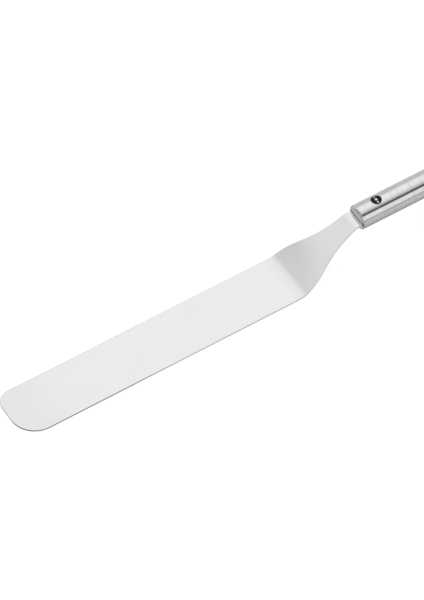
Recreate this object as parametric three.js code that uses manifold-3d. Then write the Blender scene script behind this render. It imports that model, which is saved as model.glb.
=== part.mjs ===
// Offset spatula, all stainless steel: one cranked blade whose tang passes
// through a slotted front cap into a hollow tubular handle.
// Millimetres. +X from the blade's tip to the handle's end, +Y across the
// blade, +Z up. The origin is the centre of the overall box, on the plane that
// the flat blade rests on.
import * as THREE from 'three';
import { mergeVertices } from 'three/addons/utils/BufferGeometryUtils.js';
import Module from 'manifold-3d';

// ---- Driving dimensions (mm) -------------------------------------------------

// overall
const TIP_X = -195.0;
const REAR_X = 195.0;

// blade sheet
const SHEET_T = 1.2;
const BLADE_HALF_W = 19.75;
const TIP_CORNER_R_FAR = 10.25; // corner on the +Y side
const TIP_CORNER_R_NEAR = 18.1; // corner on the -Y side

// crank, measured on the middle plane of the sheet
const BEND_1_X = 12.5; // where the flat blade starts to bend up
const BEND_1_R = 14.0;
const CRANK_DEG = 27.8;
const BEND_2_R = 10.6;
const AXIS_Z = 26.5; // handle axis, and the level of the tang inside it

// neck outline: one cubic curve from the full blade width to the tang width
const NECK_X0 = 13.2;
const NECK_X1 = 36.4;
const NECK_X2 = 34.9;
const NECK_X3 = 70.6;
const TANG_HALF_W = 7.25;

// tang inside the handle
const TANG_STEP_X0 = 71.0;
const TANG_STEP_X1 = 72.0;
const TANG_INNER_HALF_W = 6.0;
const TANG_END_X = 110.0;
const TANG_END_R = 2.5;

// handle
const HANDLE_R = 8.75;
const TUBE_WALL = 0.7;
const CAP_FRONT_X = 69.4;
const CAP_EDGE_R = 0.85;
const CAP_FACE_T = 2.5;
const CAP_SKIRT_LEN = 4.0;
const SPIGOT_LEN = 5.5;
const SPIGOT_R = 7.85;
const SPIGOT_BORE_R = 6.65;
const WELD_RING_W = 0.8;
const REAR_CAP_LEN = 6.0;
const REAR_SKIRT_LEN = 1.2;
const REAR_WALL = 1.3;

// slot in the front cap
const SLOT_HALF_W = 8.1;
const SLOT_Z0 = 25.4;
const SLOT_Z1 = 27.6;

// weld fillets between the tang and the back of the front cap
const FILLET_LEG = 1.6;
const FILLET_HALF_W = 5.0;
const FILLET_GAP = 0.3;

// hanging eyelet: an oblong liner through both walls of the tube
const EYELET_X = 176.0;
const EYELET_LEN = 10.0;
const EYELET_W = 6.0;
const EYELET_WALL = 0.8;
const EYELET_GAP = 0.25;

const AROUND = 48; // flats around every turned piece

// ---- Materials -------------------------------------------------------------------

const steel = (color, roughness) =>
  new THREE.MeshStandardMaterial({ color, roughness, metalness: 1.0 });
const bladeSteel = steel(0xd3d4d5, 0.32);
const handleSteel = steel(0xc8c9cb, 0.28);
const capSteel = steel(0xb9babd, 0.34);
const weldSteel = steel(0xa9aaac, 0.5);

// ---- Solids ----------------------------------------------------------------------

const wasm = await Module();
wasm.setup();

function toSolid(geometry) {
  const g = geometry.index ? geometry.clone() : geometry;
  g.deleteAttribute('normal');
  g.deleteAttribute('uv');
  const merged = mergeVertices(g, 1e-4);
  return new wasm.Manifold(
    new wasm.Mesh({
      numProp: 3,
      vertProperties: new Float32Array(merged.attributes.position.array),
      triVerts: new Uint32Array(merged.index.array),
    }),
  );
}

function toGeometry(solid) {
  const mesh = solid.getMesh();
  const g = new THREE.BufferGeometry();
  g.setAttribute('position', new THREE.BufferAttribute(new Float32Array(mesh.vertProperties), 3));
  g.setIndex(new THREE.BufferAttribute(new Uint32Array(mesh.triVerts), 1));
  g.computeVertexNormals();
  return g;
}

// A profile of [x, r] pairs turned about the handle's axis.
function turned(profile) {
  const g = new THREE.LatheGeometry(
    profile.map(([x, r]) => new THREE.Vector2(r, x)),
    AROUND,
  );
  g.rotateZ(-Math.PI / 2);
  g.translate(0, 0, AXIS_Z);
  return g;
}

// A closed outline in X and Z, extruded across the blade from -halfW to +halfW.
function acrossY(outline, halfW) {
  const g = new THREE.ExtrudeGeometry(new THREE.Shape(outline.map(([x, z]) => new THREE.Vector2(x, z))), {
    depth: 2 * halfW,
    bevelEnabled: false,
    curveSegments: 1,
  });
  g.rotateX(Math.PI / 2);
  g.translate(0, halfW, 0);
  return g;
}

// A closed outline in X and Y, extruded upwards from z0 to z1.
function upZ(outline, z0, z1, hole) {
  const shape = new THREE.Shape(outline.map(([x, y]) => new THREE.Vector2(x, y)));
  if (hole) shape.holes.push(new THREE.Path(hole.map(([x, y]) => new THREE.Vector2(x, y))));
  const g = new THREE.ExtrudeGeometry(shape, { depth: z1 - z0, bevelEnabled: false, curveSegments: 1 });
  g.translate(0, 0, z0);
  return g;
}

// An oblong with round ends, its long side along X.
function oblong(cx, length, width, steps = 12) {
  const r = width / 2;
  const s = length / 2 - r;
  const points = [];
  for (let i = 0; i <= steps; i += 1) {
    const a = -Math.PI / 2 + (Math.PI * i) / steps;
    points.push([cx + s + r * Math.cos(a), r * Math.sin(a)]);
  }
  for (let i = 0; i <= steps; i += 1) {
    const a = Math.PI / 2 + (Math.PI * i) / steps;
    points.push([cx - s + r * Math.cos(a), r * Math.sin(a)]);
  }
  return points;
}

function arc(cx, cy, r, from, to, steps) {
  const points = [];
  for (let i = 0; i <= steps; i += 1) {
    const a = from + ((to - from) * i) / steps;
    points.push([cx + r * Math.cos(a), cy + r * Math.sin(a)]);
  }
  return points;
}

// ---- Blade: flat blade, crank, neck and tang in one sheet -------------------

// Middle line of the sheet seen from the side: [x, z, slope].
function spine() {
  const crank = THREE.MathUtils.degToRad(CRANK_DEG);
  const z0 = SHEET_T / 2;
  const line = [[TIP_X, z0, 0]];
  const bend1 = 10;
  for (let i = 0; i <= bend1; i += 1) {
    const a = (crank * i) / bend1;
    line.push([BEND_1_X + BEND_1_R * Math.sin(a), z0 + BEND_1_R * (1 - Math.cos(a)), a]);
  }
  const rise2 = BEND_2_R * (1 - Math.cos(crank));
  const [xa, za] = line[line.length - 1];
  const straight = (AXIS_Z - rise2 - za) / Math.sin(crank);
  const xb = xa + straight * Math.cos(crank);
  const zb = AXIS_Z - rise2;
  const bend2 = 12;
  for (let i = 0; i <= bend2; i += 1) {
    const a = crank * (1 - i / bend2);
    line.push([
      xb + BEND_2_R * (Math.sin(crank) - Math.sin(a)),
      zb + BEND_2_R * (Math.cos(a) - Math.cos(crank)),
      a,
    ]);
  }
  line.push([TANG_END_X, AXIS_Z, 0]);
  return line;
}

function bladeSide() {
  const line = spine();
  const h = SHEET_T / 2;
  const lower = line.map(([x, z, a]) => [x + h * Math.sin(a), z - h * Math.cos(a)]);
  const upper = line.map(([x, z, a]) => [x - h * Math.sin(a), z + h * Math.cos(a)]);
  return [...lower, ...upper.reverse()];
}

function bladePlan() {
  const halfSide = [];
  const neck = new THREE.CubicBezierCurve(
    new THREE.Vector2(NECK_X0, BLADE_HALF_W),
    new THREE.Vector2(NECK_X1, BLADE_HALF_W),
    new THREE.Vector2(NECK_X2, TANG_HALF_W),
    new THREE.Vector2(NECK_X3, TANG_HALF_W),
  );
  for (const p of neck.getPoints(30)) halfSide.push([p.x, p.y]);
  halfSide.push([TANG_STEP_X0, TANG_HALF_W], [TANG_STEP_X1, TANG_INNER_HALF_W]);
  const end = arc(TANG_END_X - TANG_END_R, TANG_INNER_HALF_W - TANG_END_R, TANG_END_R, Math.PI / 2, 0, 5);
  halfSide.push(...end);
  const near = halfSide.map(([x, y]) => [x, -y]);
  const far = [...halfSide].reverse();
  const farCorner = arc(
    TIP_X + TIP_CORNER_R_FAR,
    BLADE_HALF_W - TIP_CORNER_R_FAR,
    TIP_CORNER_R_FAR,
    Math.PI / 2,
    Math.PI,
    12,
  );
  const nearCorner = arc(
    TIP_X + TIP_CORNER_R_NEAR,
    -BLADE_HALF_W + TIP_CORNER_R_NEAR,
    TIP_CORNER_R_NEAR,
    Math.PI,
    1.5 * Math.PI,
    18,
  );
  return [...near, ...far, ...farCorner, ...nearCorner];
}

const bladeSolid = toSolid(acrossY(bladeSide(), BLADE_HALF_W + 1)).intersect(
  toSolid(upZ(bladePlan(), -2, AXIS_Z + 5)),
);

// ---- Handle -------------------------------------------------------------------------

const skirtEnd = CAP_FRONT_X + CAP_SKIRT_LEN;
const tubeStart = skirtEnd + WELD_RING_W;
const rearSkirt = REAR_X - REAR_CAP_LEN;
const tubeEnd = rearSkirt - WELD_RING_W;
const tubeInnerR = HANDLE_R - TUBE_WALL;

// Front cap: a turned plug with a rounded rim and a hollow spigot.
const capEdge = arc(CAP_FRONT_X + CAP_EDGE_R, HANDLE_R - CAP_EDGE_R, CAP_EDGE_R, Math.PI, Math.PI / 2, 6);
const capProfile = [
  [CAP_FRONT_X, 0],
  ...capEdge,
  [skirtEnd, HANDLE_R],
  [skirtEnd, SPIGOT_R],
  [skirtEnd + SPIGOT_LEN, SPIGOT_R],
  [skirtEnd + SPIGOT_LEN, SPIGOT_BORE_R],
  [CAP_FRONT_X + CAP_FACE_T, SPIGOT_BORE_R],
  [CAP_FRONT_X + CAP_FACE_T, 0],
];
const slotCutter = new THREE.BoxGeometry(CAP_FACE_T + 2, 2 * SLOT_HALF_W, SLOT_Z1 - SLOT_Z0);
slotCutter.translate(CAP_FRONT_X + CAP_FACE_T / 2 - 0.6, 0, (SLOT_Z0 + SLOT_Z1) / 2);
const capSolid = toSolid(turned(capProfile)).subtract(toSolid(slotCutter));

// A ring of weld metal, ground flush with the tube.
function weldRing(x0) {
  return turned([
    [x0, HANDLE_R],
    [x0 + WELD_RING_W, HANDLE_R],
    [x0 + WELD_RING_W, tubeInnerR],
    [x0, tubeInnerR],
    [x0, HANDLE_R],
  ]);
}

// Tube, with the oblong cross hole that the eyelet lines.
const tubeBlank = turned([
  [tubeStart, HANDLE_R],
  [tubeEnd, HANDLE_R],
  [tubeEnd, tubeInnerR],
  [tubeStart, tubeInnerR],
  [tubeStart, HANDLE_R],
]);
const eyeletOuterLen = EYELET_LEN + 2 * EYELET_WALL;
const eyeletOuterW = EYELET_W + 2 * EYELET_WALL;
const crossHole = upZ(
  oblong(EYELET_X, eyeletOuterLen + 2 * EYELET_GAP, eyeletOuterW + 2 * EYELET_GAP),
  AXIS_Z - 12,
  AXIS_Z + 12,
);
const tubeSolid = toSolid(tubeBlank).subtract(toSolid(crossHole));

// Eyelet: oblong liner trimmed flush with the outside of the tube.
const linerBlank = upZ(
  oblong(EYELET_X, eyeletOuterLen, eyeletOuterW),
  AXIS_Z - 12,
  AXIS_Z + 12,
  oblong(EYELET_X, EYELET_LEN, EYELET_W).reverse(),
);
const trim = turned([
  [EYELET_X - 12, 0],
  [EYELET_X - 12, HANDLE_R],
  [EYELET_X + 12, HANDLE_R],
  [EYELET_X + 12, 0],
]);
const eyeletSolid = toSolid(linerBlank).intersect(toSolid(trim));

// Rear cap: a shallow domed cup with a hollow spigot.
const domeLen = REAR_CAP_LEN - REAR_SKIRT_LEN;
const dome = [];
for (let i = 0; i <= 9; i += 1) {
  const a = (Math.PI / 2) * (i / 9);
  dome.push([rearSkirt + REAR_SKIRT_LEN + domeLen * Math.sin(a), HANDLE_R * Math.cos(a) ** 0.72]);
}
dome[dome.length - 1][1] = 0;
const domeInside = [];
for (let i = 0; i <= 6; i += 1) {
  const a = (Math.PI / 2) * (1 - i / 6);
  domeInside.push([rearSkirt + (REAR_CAP_LEN - REAR_WALL) * Math.sin(a), SPIGOT_BORE_R * Math.cos(a) ** 0.72]);
}
domeInside[0][1] = 0;
const rearProfile = [
  ...domeInside,
  [rearSkirt - SPIGOT_LEN, SPIGOT_BORE_R],
  [rearSkirt - SPIGOT_LEN, SPIGOT_R],
  [rearSkirt, SPIGOT_R],
  [rearSkirt, HANDLE_R],
  ...dome,
];

// Weld fillets behind the cap, above and below the tang: a corner section with
// a hollowed face.
function filletOutline(side) {
  const x0 = CAP_FRONT_X + CAP_FACE_T + FILLET_GAP;
  const z0 = AXIS_Z + side * (SHEET_T / 2 + FILLET_GAP);
  const points = [[x0, z0]];
  for (let i = 0; i <= 6; i += 1) {
    const t = i / 6;
    const hollow = 0.13 * FILLET_LEG * Math.sin(Math.PI * t);
    points.push([x0 + FILLET_LEG * (1 - t) - hollow, z0 + side * (FILLET_LEG * t - hollow)]);
  }
  return side > 0 ? points : points.reverse();
}

// ---- Assembly ------------------------------------------------------------------------

const object = new THREE.Group();
object.name = 'offset_spatula';
const handle = new THREE.Group();
handle.name = 'handle';
object.add(handle);

function add(parent, name, geometry, material) {
  const mesh = new THREE.Mesh(geometry, material);
  mesh.name = name;
  parent.add(mesh);
}

add(object, 'blade', toGeometry(bladeSolid), bladeSteel);
add(handle, 'front_cap', toGeometry(capSolid), capSteel);
add(handle, 'tang_weld_upper', acrossY(filletOutline(1), FILLET_HALF_W), weldSteel);
add(handle, 'tang_weld_lower', acrossY(filletOutline(-1), FILLET_HALF_W), weldSteel);
add(handle, 'front_weld_ring', weldRing(skirtEnd), weldSteel);
add(handle, 'handle_tube', toGeometry(tubeSolid), handleSteel);
add(handle, 'hanging_eyelet', toGeometry(eyeletSolid), capSteel);
add(handle, 'rear_weld_ring', weldRing(tubeEnd), weldSteel);
add(handle, 'rear_cap', turned(rearProfile), handleSteel);

export default object;
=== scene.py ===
# Looks of the offset spatula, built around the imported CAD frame.
# All dimensions below are millimetres in the row frame; every mesh is made in metres.
import math

import bmesh
import bpy
from mathutils import Matrix, Vector


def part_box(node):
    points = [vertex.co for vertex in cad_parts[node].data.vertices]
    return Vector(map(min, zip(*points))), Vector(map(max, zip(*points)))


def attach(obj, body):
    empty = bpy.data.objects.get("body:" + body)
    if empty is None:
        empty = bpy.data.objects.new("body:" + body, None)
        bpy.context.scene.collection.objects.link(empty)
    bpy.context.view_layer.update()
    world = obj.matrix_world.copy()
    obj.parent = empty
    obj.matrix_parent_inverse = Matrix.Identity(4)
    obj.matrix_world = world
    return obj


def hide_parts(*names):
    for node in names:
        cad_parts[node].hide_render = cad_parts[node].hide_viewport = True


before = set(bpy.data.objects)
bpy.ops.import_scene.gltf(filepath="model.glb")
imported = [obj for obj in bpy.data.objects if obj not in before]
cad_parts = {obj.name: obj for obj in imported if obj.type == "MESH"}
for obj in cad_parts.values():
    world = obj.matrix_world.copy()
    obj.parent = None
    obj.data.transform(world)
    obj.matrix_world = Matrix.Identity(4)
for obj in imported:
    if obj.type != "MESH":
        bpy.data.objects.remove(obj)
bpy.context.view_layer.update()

MM = 0.001
scene = bpy.context.scene

# ---- dimensions -------------------------------------------------------------------

blade_lo, blade_hi = (v * 1000 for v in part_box("blade"))
tube_lo, tube_hi = (v * 1000 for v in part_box("handle_tube"))
cap_lo, cap_hi = (v * 1000 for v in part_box("front_cap"))
ring1_lo, ring1_hi = (v * 1000 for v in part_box("front_weld_ring"))
ring2_lo, ring2_hi = (v * 1000 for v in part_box("rear_weld_ring"))
rear_lo, rear_hi = (v * 1000 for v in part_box("rear_cap"))
eye_lo, eye_hi = (v * 1000 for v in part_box("hanging_eyelet"))
weld_lo, weld_hi = (v * 1000 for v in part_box("tang_weld_upper"))

R = (tube_hi.z - tube_lo.z) / 2
AXIS_Z = (tube_hi.z + tube_lo.z) / 2
TUBE_WALL = 0.7

SHEET_T = 1.2
TIP_X = blade_lo.x
HALF_W = blade_hi.y
TIP_R_FAR = 10.25
TIP_R_NEAR = 18.1
BEND_1_X = 12.5
BEND_1_R = 14.0
CRANK = math.radians(27.8)
BEND_2_R = 10.6
NECK = ((13.2, HALF_W), (36.4, HALF_W), (34.9, 7.25), (70.6, 7.25))
TANG_STEP = ((71.0, 7.25), (72.0, 6.0))
TANG_END_X = blade_hi.x
TANG_END_R = 2.5
RIM_R = 0.3

CAP_X = cap_lo.x
CAP_EDGE_R = 0.85
CAP_FACE_T = 2.5
SKIRT_END = ring1_lo.x
SPIGOT_LEN = 5.5
SPIGOT_R = R - 0.9
SPIGOT_BORE_R = R - 2.1
SLOT_HALF_W = 8.1
SLOT_Z0, SLOT_Z1 = 25.4, 27.6

REAR_SKIRT_X = ring2_hi.x
REAR_SKIRT_LEN = 1.2
REAR_WALL = 1.3
REAR_X = rear_hi.x

EYE_X = (eye_lo.x + eye_hi.x) / 2
EYE_WALL = 0.8
EYE_LEN = (eye_hi.x - eye_lo.x) - 2 * EYE_WALL
EYE_W = (eye_hi.y - eye_lo.y) - 2 * EYE_WALL

# ---- mesh helpers -----------------------------------------------------------------


def link(name, mesh):
    ob = bpy.data.objects.new(name, mesh)
    scene.collection.objects.link(ob)
    return ob


def from_bmesh(name, bm):
    mesh = bpy.data.meshes.new(name)
    bm.to_mesh(mesh)
    bm.free()
    return link(name, mesh)


def arc(cx, cy, r, a0, a1, steps):
    return [
        (cx + r * math.cos(a0 + (a1 - a0) * i / steps), cy + r * math.sin(a0 + (a1 - a0) * i / steps))
        for i in range(steps + 1)
    ]


def spread(a, b, step):
    n = max(1, round((b - a) / step))
    return [a + (b - a) * i / n for i in range(n + 1)]


def lathe(name, profile, seg=192):
    """A closed profile of (x, r) turned about the handle's axis."""
    bm = bmesh.new()
    rings = []
    for x, r in profile:
        if r < 1e-6:
            rings.append([bm.verts.new((x * MM, 0, AXIS_Z * MM))])
        else:
            rings.append([
                bm.verts.new((
                    x * MM,
                    r * math.cos(2 * math.pi * i / seg) * MM,
                    (AXIS_Z + r * math.sin(2 * math.pi * i / seg)) * MM,
                ))
                for i in range(seg)
            ])
    pairs = list(zip(rings, rings[1:]))
    if len(rings[0]) > 1 and len(rings[-1]) > 1:
        pairs.append((rings[-1], rings[0]))
    for a, b in pairs:
        for i in range(seg):
            j = (i + 1) % seg
            if len(a) == 1 and len(b) == 1:
                continue
            if len(a) == 1:
                bm.faces.new((a[0], b[i], b[j]))
            elif len(b) == 1:
                bm.faces.new((a[i], b[0], a[j]))
            else:
                bm.faces.new((a[i], b[i], b[j], a[j]))
    bmesh.ops.recalc_face_normals(bm, faces=bm.faces[:])
    return from_bmesh(name, bm)


def prism(name, outline, lo, hi, axis="Z"):
    """A closed outline extruded along Z, or along X for an outline in (y, z)."""
    bm = bmesh.new()
    place = (lambda p, q, h: (p * MM, q * MM, h * MM)) if axis == "Z" else (lambda p, q, h: (h * MM, p * MM, q * MM))
    low = [bm.verts.new(place(p, q, lo)) for p, q in outline]
    high = [bm.verts.new(place(p, q, hi)) for p, q in outline]
    bm.faces.new(low)
    bm.faces.new(high)
    for i in range(len(low)):
        j = (i + 1) % len(low)
        bm.faces.new((low[i], low[j], high[j], high[i]))
    bmesh.ops.recalc_face_normals(bm, faces=bm.faces[:])
    return from_bmesh(name, bm)


def cut(ob, cutter):
    m = ob.modifiers.new("cut", "BOOLEAN")
    m.operation, m.solver, m.object = "DIFFERENCE", "EXACT", cutter
    done = bpy.data.meshes.new_from_object(ob.evaluated_get(bpy.context.evaluated_depsgraph_get()))
    ob.modifiers.clear()
    old, ob.data = ob.data, done
    bpy.data.meshes.remove(old)
    bpy.data.objects.remove(cutter)
    ob.data.name = ob.name


def smooth(ob, angle=30):
    ob.data.shade_smooth()
    ob.data.set_sharp_from_angle(angle=math.radians(angle))


def flat_uv(ob):
    """UV in metres, u along X and v along Y."""
    uv = ob.data.uv_layers.new(name="UVMap")
    for loop in ob.data.loops:
        co = ob.data.vertices[loop.vertex_index].co
        uv.data[loop.index].uv = (co.x, co.y)


def oblong(cx, length, width, steps=48):
    r, s = width / 2, (length - width) / 2
    return arc(cx + s, 0, r, -math.pi / 2, math.pi / 2, steps) + arc(cx - s, 0, r, math.pi / 2, 1.5 * math.pi, steps)


# ---- blade: one sheet, flat, cranked, narrowed to the neck and tang ----------------

RISE_2 = BEND_2_R * (1 - math.cos(CRANK))
B1_END = (BEND_1_X + BEND_1_R * math.sin(CRANK), SHEET_T / 2 + BEND_1_R * (1 - math.cos(CRANK)))
B2_START = (
    B1_END[0] + (AXIS_Z - RISE_2 - B1_END[1]) / math.tan(CRANK),
    AXIS_Z - RISE_2,
)
B2_END = B2_START[0] + BEND_2_R * math.sin(CRANK)


def spine(x):
    """Height and slope of the sheet's middle line at x."""
    if x <= BEND_1_X:
        return SHEET_T / 2, 0.0
    if x <= B1_END[0]:
        a = math.asin((x - BEND_1_X) / BEND_1_R)
        return SHEET_T / 2 + BEND_1_R * (1 - math.cos(a)), a
    if x <= B2_START[0]:
        return B1_END[1] + (x - B1_END[0]) * math.tan(CRANK), CRANK
    if x <= B2_END:
        a = math.asin(math.sin(CRANK) - (x - B2_START[0]) / BEND_2_R)
        return AXIS_Z - RISE_2 + BEND_2_R * (math.cos(a) - math.cos(CRANK)), a
    return AXIS_Z, 0.0


def bezier(p, n):
    out = []
    for i in range(n + 1):
        t = i / n
        w = ((1 - t) ** 3, 3 * t * (1 - t) ** 2, 3 * t * t * (1 - t), t ** 3)
        out.append((sum(w[k] * p[k][0] for k in range(4)), sum(w[k] * p[k][1] for k in range(4))))
    return out


def blade_outline():
    half = bezier(NECK, 90) + list(TANG_STEP)
    half += arc(TANG_END_X - TANG_END_R, TANG_STEP[1][1] - TANG_END_R, TANG_END_R, math.pi / 2, 0, 12)
    near = [(x, -y) for x, y in half]
    far = half[::-1]
    return (
        near
        + far
        + arc(TIP_X + TIP_R_FAR, HALF_W - TIP_R_FAR, TIP_R_FAR, math.pi / 2, math.pi, 48)
        + arc(TIP_X + TIP_R_NEAR, -HALF_W + TIP_R_NEAR, TIP_R_NEAR, math.pi, 1.5 * math.pi, 64)
    )


def inset(outline, d):
    """The outline moved inwards by d."""
    out = []
    n = len(outline)
    for i in range(n):
        p, q, r = (Vector(outline[(i + k) % n]) for k in (-1, 0, 1))
        a, b = (q - p).normalized(), (r - q).normalized()
        na, nb = Vector((-a.y, a.x)), Vector((-b.y, b.x))
        m = (na + nb).normalized()
        out.append(tuple(q + m * (d / max(0.5, m.dot(na)))))
    return out


def build_blade():
    outline = blade_outline()
    steps = 5
    section = [(RIM_R + 0.25, 0.0)]
    for k in range(steps + 1):
        a = math.pi / 2 * k / steps
        section.append((RIM_R * (1 - math.sin(a)), RIM_R * (1 - math.cos(a))))
    section += [(i, SHEET_T - z) for i, z in reversed(section)]
    bm = bmesh.new()
    rings = []
    for i, z in section:
        pts = inset(outline, i) if i > 1e-9 else outline
        rings.append([bm.verts.new((x, y, z)) for x, y in pts])
    n = len(outline)
    for a, b in zip(rings, rings[1:]):
        for i in range(n):
            j = (i + 1) % n
            bm.faces.new((a[i], a[j], b[j], b[i]))
    bm.faces.new(rings[0][::-1])
    bm.faces.new(rings[-1])
    xs = spread(TIP_X + 5, BEND_1_X - 2, 5.0)
    xs += spread(BEND_1_X - 1.5, BEND_1_X - 0.3, 0.3)
    xs += spread(BEND_1_X, B1_END[0], 0.25)
    xs += spread(B1_END[0] + 0.3, B1_END[0] + 1.5, 0.3)
    xs += spread(B1_END[0] + 3, B2_START[0] - 3, 3.0)
    xs += spread(B2_START[0] - 1.5, B2_START[0] - 0.3, 0.3)
    xs += spread(B2_START[0], B2_END, 0.35)
    xs += spread(B2_END + 0.3, B2_END + 1.2, 0.3)
    xs += spread(B2_END + 3, TANG_END_X - 3, 5.0)
    for x in xs:
        bmesh.ops.bisect_plane(
            bm, geom=bm.verts[:] + bm.edges[:] + bm.faces[:], dist=1e-6,
            plane_co=(x, 0, 0), plane_no=(1, 0, 0),
        )
    for y in (-12, -6, 0, 6, 12):
        bmesh.ops.bisect_plane(
            bm, geom=bm.verts[:] + bm.edges[:] + bm.faces[:], dist=1e-6,
            plane_co=(0, y, 0), plane_no=(0, 1, 0),
        )
    for v in bm.verts:
        x, y, z = v.co
        mid, a = spine(x)
        h = z - SHEET_T / 2
        v.co = ((x - h * math.sin(a)) * MM, y * MM, (mid + h * math.cos(a)) * MM)
    bmesh.ops.recalc_face_normals(bm, faces=bm.faces[:])
    ob = from_bmesh("blade_fine", bm)
    flat_uv(ob)
    smooth(ob, 50)
    return ob


blade = build_blade()

# ---- handle -----------------------------------------------------------------------

# front cap: flat face, rounded rim, skirt, hollow spigot, milled slot with round ends
edge = arc(CAP_X + CAP_EDGE_R, R - CAP_EDGE_R, CAP_EDGE_R, math.pi, math.pi / 2, 14)
flat_r = R - CAP_EDGE_R
cap_profile = (
    [(CAP_X, 0), (CAP_X, flat_r - 0.15)]
    + edge
    + [(SKIRT_END - 0.1, R), (SKIRT_END, R), (SKIRT_END, SPIGOT_R), (SKIRT_END + SPIGOT_LEN - 0.4, SPIGOT_R)]
    + [(SKIRT_END + SPIGOT_LEN, SPIGOT_R - 0.4), (SKIRT_END + SPIGOT_LEN, SPIGOT_BORE_R)]
    + [(CAP_X + CAP_FACE_T, SPIGOT_BORE_R), (CAP_X + CAP_FACE_T, 0)]
)
front_cap = lathe("front_cap_fine", cap_profile)
sr = (SLOT_Z1 - SLOT_Z0) / 2
slot_outline = arc(SLOT_HALF_W - sr, (SLOT_Z0 + SLOT_Z1) / 2, sr, -math.pi / 2, math.pi / 2, 16) + arc(
    -SLOT_HALF_W + sr, (SLOT_Z0 + SLOT_Z1) / 2, sr, math.pi / 2, 1.5 * math.pi, 16
)
cut(front_cap, prism("slot_cutter", slot_outline, CAP_X - 1, CAP_X + CAP_FACE_T + 0.5, "X"))
smooth(front_cap, 30)


def weld_ring(name, lo, hi):
    ri = R - TUBE_WALL
    ob = lathe(name, [(lo, R), ((lo + hi) / 2, R), (hi, R), (hi, ri), ((lo + hi) / 2, ri - 0.12), (lo, ri)])
    smooth(ob, 40)
    return ob


front_ring = weld_ring("front_weld_ring_fine", ring1_lo.x, ring1_hi.x)
rear_ring = weld_ring("rear_weld_ring_fine", ring2_lo.x, ring2_hi.x)

# tube, with the cross hole that the eyelet closes
xs = spread(tube_lo.x, EYE_X - 10, 8.0) + spread(EYE_X - 9, EYE_X + 9, 0.75) + spread(EYE_X + 10, tube_hi.x, 2.0)
tube = lathe("handle_tube_fine", [(x, R) for x in xs] + [(x, R - TUBE_WALL) for x in reversed(xs)])
fit = EYE_WALL * 2 + 0.08
cut(tube, prism("eyelet_cutter", oblong(EYE_X, EYE_LEN + fit, EYE_W + fit), AXIS_Z - 14, AXIS_Z + 14))
smooth(tube, 30)


def build_eyelet():
    """Oblong liner whose lips follow the tube's surface and roll into the hole."""
    inner = oblong(EYE_X, EYE_LEN, EYE_W)[:-1]
    outer = oblong(EYE_X, EYE_LEN + 2 * EYE_WALL, EYE_W + 2 * EYE_WALL)[:-1]
    lip, steps, flat = 0.45, 7, 3
    section = [(0.0, None)]
    levels = [("top", s / flat * (EYE_WALL - lip), 0.0) for s in range(flat + 1)]
    for k in range(1, steps + 1):
        a = math.pi / 2 * k / steps
        levels.append(("top", EYE_WALL - lip + lip * math.sin(a), lip * (1 - math.cos(a))))
    levels += [("wall", EYE_WALL, t) for t in (0.75, 0.25, -0.25, -0.75)]
    levels += [("bottom", d, drop) for kind, d, drop in reversed(levels) if kind == "top"]
    bm = bmesh.new()
    rings = []
    for kind, d, v in levels:
        ring = []
        for (xi, yi), (xo, yo) in zip(inner, outer):
            x, y = xo + (xi - xo) * d / EYE_WALL, yo + (yi - yo) * d / EYE_WALL
            top = math.sqrt(R * R - y * y)
            z = {"top": top - v, "bottom": -top + v, "wall": v * (top - lip)}[kind]
            ring.append(bm.verts.new((x * MM, y * MM, (AXIS_Z + z) * MM)))
        rings.append(ring)
    n = len(inner)
    for a, b in list(zip(rings, rings[1:])) + [(rings[-1], rings[0])]:
        for i in range(n):
            j = (i + 1) % n
            bm.faces.new((a[i], a[j], b[j], b[i]))
    bmesh.ops.recalc_face_normals(bm, faces=bm.faces[:])
    ob = from_bmesh("hanging_eyelet_fine", bm)
    smooth(ob, 40)
    return ob


eyelet = build_eyelet()

# rear cap: domed, with a hollow spigot
dome_x = REAR_SKIRT_X + REAR_SKIRT_LEN
dome_len = REAR_X - dome_x
N = 40
dome = [
    (dome_x + dome_len * math.sin(math.pi / 2 * i / N), R * max(0.0, math.cos(math.pi / 2 * i / N)) ** 0.72)
    for i in range(N)
] + [(REAR_X, 0)]
M = 20
inside = [(REAR_SKIRT_X + (REAR_X - REAR_SKIRT_X - REAR_WALL), 0)] + [
    (
        REAR_SKIRT_X + (REAR_X - REAR_SKIRT_X - REAR_WALL) * math.sin(math.pi / 2 * (1 - i / M)),
        SPIGOT_BORE_R * math.cos(math.pi / 2 * (1 - i / M)) ** 0.72,
    )
    for i in range(1, M + 1)
]
rear_cap = lathe(
    "rear_cap_fine",
    inside
    + [(REAR_SKIRT_X - SPIGOT_LEN, SPIGOT_BORE_R), (REAR_SKIRT_X - SPIGOT_LEN, SPIGOT_R - 0.3)]
    + [(REAR_SKIRT_X - SPIGOT_LEN + 0.3, SPIGOT_R), (REAR_SKIRT_X, SPIGOT_R), (REAR_SKIRT_X, R)]
    + dome,
)
smooth(rear_cap, 40)


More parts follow.
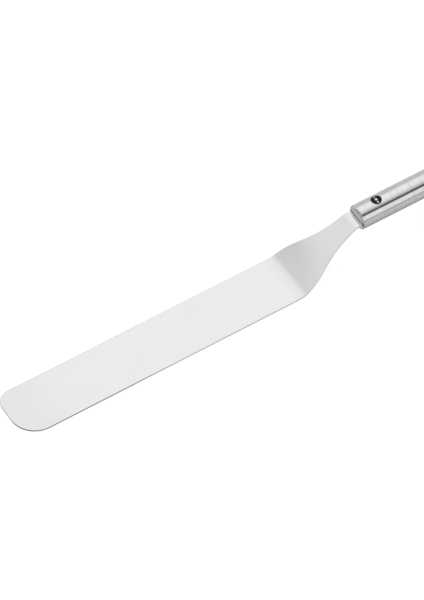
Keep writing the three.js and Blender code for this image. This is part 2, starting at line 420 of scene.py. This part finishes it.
def weld_bead(name, side):
    """A rippled fillet behind the cap, over or under the tang."""
    x0, half, leg = weld_lo.x, weld_hi.y, weld_hi.x - weld_lo.x
    z0 = weld_lo.z if side > 0 else 2 * AXIS_Z - weld_lo.z
    bm = bmesh.new()
    rings = []
    ny, ns = 80, 12
    for i in range(ny + 1):
        y = -half + 2 * half * i / ny
        end = math.sqrt(max(0.0, 1 - (abs(y) / half) ** 10)) * 0.7 + 0.3
        ripple = 1 - 0.05 * (0.5 + 0.5 * math.sin(2 * math.pi * y / 0.9))
        s = leg * end * ripple
        ring = [bm.verts.new((x0 * MM, y * MM, z0 * MM))]
        for k in range(ns + 1):
            t = k / ns
            hollow = 0.10 * s * math.sin(math.pi * t)
            ring.append(bm.verts.new((
                (x0 + s * (1 - t) - hollow) * MM,
                (y + 0.12 * math.sin(math.pi * t)) * MM if abs(y) < half - 0.2 else y * MM,
                (z0 + side * (s * t - hollow)) * MM,
            )))
        rings.append(ring)
    n = len(rings[0])
    for a, b in zip(rings, rings[1:]):
        for i in range(n):
            j = (i + 1) % n
            bm.faces.new((a[i], a[j], b[j], b[i]))
    bm.faces.new(rings[0])
    bm.faces.new(rings[-1])
    bmesh.ops.recalc_face_normals(bm, faces=bm.faces[:])
    ob = from_bmesh(name, bm)
    smooth(ob, 40)
    return ob


weld_up = weld_bead("tang_weld_upper_fine", 1)
weld_down = weld_bead("tang_weld_lower_fine", -1)

# ---- materials --------------------------------------------------------------------


class Nodes:
    """Short calls for building one node tree."""

    def __init__(self, tree):
        self.t = tree
        self.t.nodes.clear()

    def new(self, kind, **settings):
        n = self.t.nodes.new(kind)
        for k, v in settings.items():
            setattr(n, k, v)
        return n

    def join(self, a, b):
        self.t.links.new(a, b)

    def math(self, op, a, b=None, c=None, clamp=False):
        n = self.new("ShaderNodeMath", operation=op, use_clamp=clamp)
        for i, v in enumerate((a, b, c)):
            if v is None:
                continue
            if isinstance(v, (int, float)):
                n.inputs[i].default_value = v
            else:
                self.join(v, n.inputs[i])
        return n.outputs[0]

    def mapped(self, source, scale, offset=(0, 0, 0)):
        n = self.new("ShaderNodeMapping")
        n.inputs["Scale"].default_value = scale
        n.inputs["Location"].default_value = offset
        self.join(source, n.inputs["Vector"])
        return n.outputs[0]

    def noise(self, vector, scale=1.0, detail=2.0, rough=0.5):
        n = self.new("ShaderNodeTexNoise")
        n.inputs["Scale"].default_value = scale
        n.inputs["Detail"].default_value = detail
        n.inputs["Roughness"].default_value = rough
        self.join(vector, n.inputs["Vector"])
        return n.outputs["Fac"]

    def range(self, value, a, b, c, d, smoothstep=False):
        n = self.new("ShaderNodeMapRange", interpolation_type="SMOOTHSTEP" if smoothstep else "LINEAR")
        self.join(value, n.inputs["Value"])
        for k, v in zip(("From Min", "From Max", "To Min", "To Max"), (a, b, c, d)):
            n.inputs[k].default_value = v
        return n.outputs["Result"]

    def grey(self, value, tint=(1.0, 1.0, 1.0)):
        n = self.new("ShaderNodeCombineColor")
        for i in range(3):
            self.join(self.math("MULTIPLY", value, tint[i]) if tint[i] != 1.0 else value, n.inputs[i])
        return n.outputs[0]


def metal(name, base, rough, grain, aniso=0.0, tangent=None, base_var=0.03, rough_var=0.04,
          bump=0.1, bump_dist=1e-6, blotch=0.02, extra=None):
    """Bare steel. grain is the scale of the streaks along X, Y and Z, per metre."""
    mat = bpy.data.materials.new(name)
    mat.use_nodes = True
    k = Nodes(mat.node_tree)
    out = k.new("ShaderNodeOutputMaterial")
    shader = k.new("ShaderNodeBsdfPrincipled")
    k.join(shader.outputs[0], out.inputs["Surface"])
    shader.inputs["Metallic"].default_value = 1.0
    shader.inputs["Anisotropic"].default_value = aniso
    shader.inputs["Anisotropic Rotation"].default_value = 0.25 if aniso else 0.0
    where = k.new("ShaderNodeTexCoord").outputs["Object"]
    fine = k.noise(k.mapped(where, grain), detail=3.0, rough=0.6)
    broad = k.noise(k.mapped(where, tuple(g / 6 for g in grain), (3.1, 1.7, 5.3)), detail=2.0)
    patches = k.noise(where, scale=55.0, detail=3.0)
    streak = k.math("ADD", k.math("MULTIPLY", fine, 0.6), k.math("MULTIPLY", broad, 0.4))
    value = k.range(streak, 0.3, 0.7, base - base_var, base + base_var)
    value = k.math("ADD", value, k.range(patches, 0.3, 0.7, -blotch, blotch))
    roughness = k.range(streak, 0.3, 0.7, rough - rough_var, rough + rough_var)
    roughness = k.math("ADD", roughness, k.range(patches, 0.3, 0.7, -0.6 * rough_var, 0.6 * rough_var))
    if extra:
        value, roughness = extra(k, where, value, roughness)
    k.join(k.grey(value, (0.998, 1.0, 1.004)), shader.inputs["Base Color"])
    k.join(roughness, shader.inputs["Roughness"])
    b = k.new("ShaderNodeBump")
    b.inputs["Strength"].default_value = bump
    b.inputs["Distance"].default_value = bump_dist
    k.join(streak, b.inputs["Height"])
    k.join(b.outputs[0], shader.inputs["Normal"])
    if tangent:
        k.join(tangent(k), shader.inputs["Tangent"])
    return mat


def around_x(k):
    return k.new("ShaderNodeTangent", direction_type="RADIAL", axis="X").outputs[0]


def along_uv(k):
    return k.new("ShaderNodeTangent", direction_type="UV_MAP", uv_map="UVMap").outputs[0]


# Span along X and strength of the painted shade on the sheet's side faces.
EDGE_SPAN, EDGE_PAINTED_SHADE = (-115 * MM, -85 * MM), 0.6


def tone_and_painted_light(k, where, value, roughness):
    """Tone of the sheet, partly its own tint and partly painted light and shade: painted shade on its side faces,
    darker towards the tip, and painted light and shade where it was bent up and along the neck.
    """
    sep = k.new("ShaderNodeSeparateXYZ")
    k.join(where, sep.inputs[0])
    x, y = sep.outputs[0], sep.outputs[1]

    def step(a, b, to):
        return k.range(x, a * MM, b * MM, 1.0, to, smoothstep=True)

    # Painted shade across the crank: the far side of the sheet darker, the near side lighter.
    across = k.math("MULTIPLY", k.range(x, 14.0 * MM, 28.0 * MM, 0.0, 1.0), k.range(x, 31.0 * MM, 41.0 * MM, 1.0, 0.0))
    tilt_painted_shade = k.math("SUBTRACT", 1.0, k.math("MULTIPLY", k.math("MULTIPLY", y, 5.5), across))
    # Darker towards the tip.
    tint = k.range(x, -190.0 * MM, -140.0 * MM, 0.95, 1.0, smoothstep=True)
    # Painted shade on the sheet's side faces towards the tip, fading out along EDGE_SPAN.
    facing = k.new("ShaderNodeSeparateXYZ")
    k.join(k.new("ShaderNodeTexCoord").outputs["Normal"], facing.inputs[0])
    painted_edge_shade = k.range(k.math("ABSOLUTE", facing.outputs[2]), 0.45, 0.75, 1.0, 0.0)
    painted_edge_shade = k.math("MULTIPLY", painted_edge_shade, k.range(x, *EDGE_SPAN, 1.0, 0.0))
    tint = k.math("MULTIPLY", tint, k.math("SUBTRACT", 1.0, k.math("MULTIPLY", painted_edge_shade, EDGE_PAINTED_SHADE)))
    # Painted light and shade at the bend and along the neck, partly the sheet's own tint: darker from the first bend,
    # lighter past it and along the neck, darker before the cap.
    crank_painted_light = k.math("MULTIPLY", step(8.0, 13.0, 0.967), step(17.0, 20.5, 1.05))
    factor = k.math("MULTIPLY", k.math("MULTIPLY", crank_painted_light, step(26.0, 46.0, 1.124)), step(60.5, 65.0, 0.87))
    return k.math("MULTIPLY", value, k.math("MULTIPLY", factor, k.math("MULTIPLY", tilt_painted_shade, tint))), roughness


MARK_X, MARK_Y, MARK_R = 84.6, 0.35, 3.75


def seal(k, where, value, roughness):
    """A plain dark disc with three small bright dots in a row, etched on top of the tube."""
    sep = k.new("ShaderNodeSeparateXYZ")
    k.join(where, sep.inputs[0])
    dx = k.math("SUBTRACT", sep.outputs[0], MARK_X * MM)
    dy = k.math("SUBTRACT", sep.outputs[1], MARK_Y * MM)

    def dist(cy):
        e = k.math("SUBTRACT", dy, cy * MM)
        return k.math("SQRT", k.math("ADD", k.math("MULTIPLY", dx, dx), k.math("MULTIPLY", e, e)))

    mask = k.range(dist(0.0), (MARK_R + 0.05) * MM, (MARK_R - 0.05) * MM, 0.0, 1.0)
    for cy, r in ((0.0, 0.85), (2.2, 0.6), (-2.2, 0.6)):
        mask = k.math("MULTIPLY", mask, k.range(dist(cy), (r - 0.05) * MM, (r + 0.05) * MM, 0.0, 1.0))
    mask = k.math("MULTIPLY", mask, k.math("GREATER_THAN", sep.outputs[2], AXIS_Z * MM))
    keep = k.math("SUBTRACT", 1.0, mask)
    value = k.math("ADD", k.math("MULTIPLY", value, keep), k.math("MULTIPLY", mask, 0.02))
    roughness = k.math("ADD", k.math("MULTIPLY", roughness, keep), k.math("MULTIPLY", mask, 0.5))
    return value, roughness


def slot_painted_shade(k, where, value, roughness):
    """Painted shade on the walls of the milled slot and in the hollow behind it."""
    sep = k.new("ShaderNodeSeparateXYZ")
    k.join(where, sep.inputs[0])
    x, y, z = sep.outputs
    high = k.range(k.math("ABSOLUTE", k.math("SUBTRACT", z, (SLOT_Z0 + SLOT_Z1) / 2 * MM)), 1.25 * MM, 1.35 * MM, 1.0, 0.0)
    deep = k.range(x, (CAP_X + 0.05) * MM, (CAP_X + 0.35) * MM, 0.0, 1.0)
    wide = k.range(k.math("ABSOLUTE", y), 8.2 * MM, 8.35 * MM, 1.0, 0.0)
    mask = k.math("MULTIPLY", k.math("MULTIPLY", high, deep), wide)
    keep = k.math("SUBTRACT", 1.0, mask)
    value = k.math("ADD", k.math("MULTIPLY", value, keep), k.math("MULTIPLY", mask, 0.05))
    roughness = k.math("ADD", k.math("MULTIPLY", roughness, keep), k.math("MULTIPLY", mask, 0.6))
    return value, roughness


blade_mat = metal("blade_steel", 0.625, 0.12, (60, 4500, 4500), aniso=0.35, tangent=along_uv,
                  base_var=0.014, rough_var=0.02, bump=0.15, bump_dist=1.5e-6, blotch=0.006, extra=tone_and_painted_light)
tube_mat = metal("handle_steel", 0.60, 0.125, (2200, 260, 260), aniso=0.6, tangent=around_x,
                 base_var=0.075, rough_var=0.03, bump=0.2, bump_dist=1.5e-6, blotch=0.012, extra=seal)
cap_mat = metal("cap_steel", 0.60, 0.10, (4200, 45, 45), aniso=0.3, tangent=around_x,
                base_var=0.055, rough_var=0.02, bump=0.2, bump_dist=1.5e-6, blotch=0.012, extra=slot_painted_shade)
eye_mat = metal("eyelet_steel", 0.57, 0.24, (900, 900, 120), aniso=0.0,
                base_var=0.02, rough_var=0.03, bump=0.1, bump_dist=1.5e-6, blotch=0.015)
weld_mat = metal("weld_metal", 0.50, 0.42, (900, 900, 900),
                 base_var=0.05, rough_var=0.06, bump=0.4, bump_dist=8e-6, blotch=0.04)

for piece, node, slot, mat in (
    (blade, "blade", "blade_steel", blade_mat),
    (front_cap, "front_cap", "cap_steel", cap_mat),
    (front_ring, "front_weld_ring", "handle_steel", tube_mat),
    (tube, "handle_tube", "handle_steel", tube_mat),
    (eyelet, "hanging_eyelet", "cap_steel", eye_mat),
    (rear_ring, "rear_weld_ring", "handle_steel", tube_mat),
    (rear_cap, "rear_cap", "handle_steel", tube_mat),
    (weld_up, "tang_weld_upper", "weld_metal", weld_mat),
    (weld_down, "tang_weld_lower", "weld_metal", weld_mat),
):
    piece.data.materials.clear()
    piece.data.materials.append(mat)
    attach(piece, "root")
    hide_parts(node)

# ---- floor and light ----------------------------------------------------------------

TONE = 1.0  # the floor's tone, and the backdrop's behind it


def build_floor():
    bm = bmesh.new()
    centre = bm.verts.new((0, 0, -0.0002))
    rings = [
        [bm.verts.new((r * math.cos(2 * math.pi * i / 96), r * math.sin(2 * math.pi * i / 96), -0.0002)) for i in range(96)]
        for r in (0.3, 1.0, 4.0, 15.0)
    ]
    for i in range(96):
        j = (i + 1) % 96
        bm.faces.new((centre, rings[0][i], rings[0][j]))
        for a, b in zip(rings, rings[1:]):
            bm.faces.new((a[i], b[i], b[j], a[j]))
    ob = from_bmesh("floor", bm)
    mat = bpy.data.materials.new("floor_white")
    mat.use_nodes = True
    k = Nodes(mat.node_tree)
    out = k.new("ShaderNodeOutputMaterial")
    shader = k.new("ShaderNodeBsdfPrincipled")
    shader.inputs["Base Color"].default_value = (FLOOR_BASE, FLOOR_BASE, FLOOR_BASE, 1)
    shader.inputs["Roughness"].default_value = 1.0
    shader.inputs["Specular IOR Level"].default_value = 0.0
    shader.inputs["Emission Color"].default_value = (1, 1, 1, 1)
    shader.inputs["Emission Strength"].default_value = FLOOR_GLOW
    k.join(shader.outputs[0], out.inputs["Surface"])
    ob.data.materials.append(mat)
    ob.visible_glossy = False
    ob.visible_shadow = False
    return ob


FLOOR_BASE = 0.34
FLOOR_GLOW = 0.79
floor = build_floor()

# Studio surroundings seen in the metal: bands of soft boxes and gaps that run along X.
# Each stop is (angle from +Y towards +Z in degrees, brightness).
BANDS = (
    (-180, 0.712), (-177, 0.567), (-173, 0.586), (-167, 0.799), (-155, 0.831), (-140, 0.718), (-125, 0.720),
    (-110, 0.431), (-75, 0.780), (-57, 0.830), (0, 0.799), (28, 0.855), (36, 0.923), (42, 1.071),
    (48, 1.233), (56, 1.350), (68, 1.315), (82, 1.290), (96, 1.137), (106, 0.969), (114, 0.712),
    (120, 0.468), (124, 0.242), (128, 0.092), (132, 0.077), (136, 0.233), (140, 0.641), (146, 1.253),
    (158, 1.182), (170, 1.174), (176, 0.951), (180, 0.712),
)
ALONG = ((-1.0, 0.70), (-0.52, 0.73), (-0.46, 0.78), (-0.31, 0.85), (-0.14, 0.94), (0.15, 0.985), (0.33, 1.0), (1.0, 1.0))
# The black gap between two soft boxes is only as long as the handle shows; elsewhere it is filled to this extent.
STRIP = ((0.0, 0.0), (112, 0.0), (120, 0.40), (124, 0.68), (132, 0.72), (136, 0.50), (143, 0.0), (180, 0.0))
# The same around the studio's end in front of the blade's tip, which only the cap's face and rim show.
FRONT = (
    (-180, 0.90), (-150, 0.80), (-130, 0.25), (-70, 0.25), (-57, 0.95), (-35, 1.15), (36, 1.15), (42, 0.10),
    (46, 0.03), (68, 0.03), (76, 0.20), (108, 0.20), (118, 0.05), (132, 0.05), (142, 0.70), (165, 0.90), (180, 0.90),
)
FRONT_EDGE = (-0.48, -0.53)

world = bpy.data.worlds.new("studio")
scene.world = world
world.use_nodes = True
k = Nodes(world.node_tree)
sep = k.new("ShaderNodeSeparateXYZ")
k.join(k.new("ShaderNodeTexCoord").outputs["Generated"], sep.inputs[0])
x, y, z = sep.outputs


def ramp(fac, stops):
    n = k.new("ShaderNodeValToRGB")
    k.join(fac, n.inputs[0])
    e = n.color_ramp.elements
    while len(e) > 1:
        e.remove(e[-1])
    for i, (at, v) in enumerate(stops):
        s = e[0] if i == 0 else e.new(at)
        s.position = at
        s.color = (v, v, v, 1)
    bw = k.new("ShaderNodeRGBToBW")
    k.join(n.outputs[0], bw.inputs[0])
    return bw.outputs[0]


angle = k.math("ARCTAN2", z, y)
bands = ramp(k.range(angle, -math.pi, math.pi, 0, 1), [((a + 180) / 360, v / 2) for a, v in BANDS])
along = ramp(k.range(x, -1, 1, 0, 1), [((a + 1) / 2, v) for a, v in ALONG])
bands = k.math("MULTIPLY", bands, 2.0)
front = ramp(k.range(angle, -math.pi, math.pi, 0, 1), [((a + 180) / 360, v / 2) for a, v in FRONT])


def blend(a, b, share):
    return k.math("ADD", k.math("MULTIPLY", a, k.math("SUBTRACT", 1.0, share)), k.math("MULTIPLY", b, share))


strip = ramp(k.range(angle, -math.pi, math.pi, 0, 1), [((a + 180) / 360, v) for a, v in STRIP])
side = k.range(k.math("ABSOLUTE", k.math("SUBTRACT", x, 0.46)), 0.26, 0.30, 0.0, 1.0)
bands = k.math("ADD", bands, k.math("MULTIPLY", strip, side))
body = blend(bands, 0.9, k.range(x, 0.7, 0.95, 0.0, 1.0, smoothstep=True))
seen = k.math("MULTIPLY", body, along)
seen = blend(seen, k.math("MULTIPLY", front, 2.0), k.range(x, *FRONT_EDGE, 0.0, 1.0, smoothstep=True))
seen = blend(seen, 0.7, k.range(x, -0.90, -0.98, 0.0, 1.0, smoothstep=True))
reflect = k.new("ShaderNodeBackground")
k.join(k.grey(seen), reflect.inputs["Color"])
back = k.new("ShaderNodeBackground")
back.inputs["Color"].default_value = (TONE, TONE, TONE, 1)
mix = k.new("ShaderNodeMixShader")
k.join(k.new("ShaderNodeLightPath").outputs["Is Camera Ray"], mix.inputs[0])
k.join(reflect.outputs[0], mix.inputs[1])
k.join(back.outputs[0], mix.inputs[2])
k.join(mix.outputs[0], k.new("ShaderNodeOutputWorld").inputs["Surface"])

sun_data = bpy.data.lights.new("key", "SUN")
sun_data.energy = 0.35
sun_data.angle = math.radians(40)
sun = bpy.data.objects.new("key", sun_data)
sun.visible_glossy = False
scene.collection.objects.link(sun)
sun.rotation_euler = Vector((-0.35, 0.45, 1.0)).to_track_quat("Z", "Y").to_euler()

# ---- camera ------------------------------------------------------------------------

AZ, EL, ROLL = math.radians(-31.1148), math.radians(52.5957), math.radians(-1.2885)
ASIDE, ABOVE, AWAY, FOCAL_PX = -50.7548, -15.0918, 3030.0, 4639.76
r = Vector((math.cos(AZ), math.sin(AZ), 0))
u = Vector((-math.sin(AZ) * math.sin(EL), math.cos(AZ) * math.sin(EL), math.cos(EL)))
b = Vector((math.sin(AZ) * math.cos(EL), -math.cos(AZ) * math.cos(EL), math.sin(EL)))
r2 = math.cos(ROLL) * r + math.sin(ROLL) * u
u2 = -math.sin(ROLL) * r + math.cos(ROLL) * u
place = (Vector((17.45, 0, 0)) + b * AWAY + r2 * ASIDE + u2 * ABOVE) * MM
cam_data = bpy.data.cameras.new("camera")
cam_data.sensor_width = 36.0
cam_data.sensor_fit = "AUTO"
cam_data.lens = 36.0 * FOCAL_PX / 600.0
cam_data.clip_start, cam_data.clip_end = 0.05, 60.0
cam = bpy.data.objects.new("camera", cam_data)
scene.collection.objects.link(cam)
m = Matrix((r2, u2, b)).transposed().to_4x4()
m.translation = place
cam.matrix_world = m
scene.camera = cam

scene.view_settings.view_transform = "Standard"
scene.view_settings.look = "None"
scene.view_settings.exposure = 0.0
scene.view_settings.gamma = 1.0
